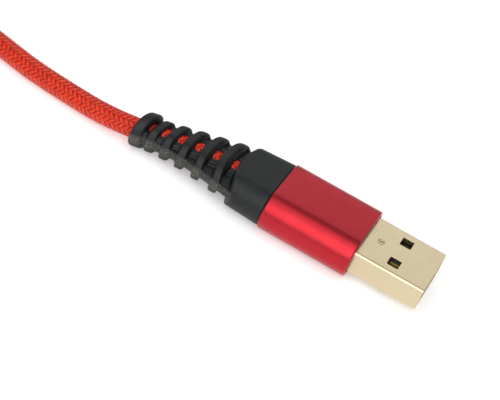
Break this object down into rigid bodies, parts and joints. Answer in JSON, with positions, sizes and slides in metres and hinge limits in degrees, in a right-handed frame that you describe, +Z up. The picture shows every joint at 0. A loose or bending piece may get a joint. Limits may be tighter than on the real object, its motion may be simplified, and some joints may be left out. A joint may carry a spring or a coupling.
{
  "type": "charging cable",
  "caption": "Braided charging cable with a metal-sleeved USB-A plug, slotted strain reliefs, spare cord in a tied hank and a USB-C plug at the far end",
  "frame": {"origin": "On the surface that the cable lies on, under the middle of the USB-A plug (tip to end of strain relief)", "axes": "+X along the USB-A plug to its tip, +Y across it, +Z up from its lower flat face"},
  "size_m": [0.1798, 0.0409, 0.015],
  "materials": {
    "gold_plating": "gold plated steel, satin",
    "black_moulding": "moulded, satin",
    "contact_gold": "gold plated, bright",
    "wire_red": "extruded insulation",
    "wire_white": "extruded insulation",
    "wire_green": "extruded insulation",
    "wire_black": "extruded insulation",
    "tinned_copper": "tinned, drawn",
    "filling_plastic": "moulded",
    "red_anodised": "fine blasted, anodised red",
    "black_rubber": "moulded, satin",
    "stainless": "deep drawn, satin",
    "board_green": "solder resist",
    "ceramic_black": "glazed body, tinned ends",
    "red_braid": "braided nylon",
    "black_strap": "woven hook and loop"
  },
  "bodies": {
    "root": {"usb_a_shell": "gold_plating", "usb_a_tongue": "black_moulding", "usb_a_power_contact": "contact_gold", "usb_a_data_minus_contact": "contact_gold", "usb_a_data_plus_contact": "contact_gold", "usb_a_ground_contact": "contact_gold", "usb_a_power_wire": "wire_red", "usb_a_data_minus_wire": "wire_white", "usb_a_data_plus_wire": "wire_green", "usb_a_ground_wire": "wire_black", "usb_a_drain_wire": "tinned_copper", "usb_a_inner_mould": "filling_plastic", "usb_a_sleeve": "red_anodised", "usb_a_strain_relief": "black_rubber", "usb_c_shell": "stainless", "usb_c_housing": "black_moulding", "usb_c_upper_contacts": "contact_gold", "usb_c_lower_contacts": "contact_gold", "usb_c_latches": "stainless", "usb_c_ground_springs": "stainless", "usb_c_board": "board_green", "usb_c_resistor": "ceramic_black", "usb_c_power_wire": "wire_red", "usb_c_data_minus_wire": "wire_white", "usb_c_data_plus_wire": "wire_green", "usb_c_ground_wire": "wire_black", "usb_c_drain_wire": "tinned_copper", "usb_c_inner_mould": "filling_plastic", "usb_c_sleeve": "red_anodised", "usb_c_strain_relief": "black_rubber", "cord_lead": "red_braid", "cord_hank": "red_braid", "cord_tail": "red_braid", "cord_tie": "black_strap"}
  },
  "joints": []
}
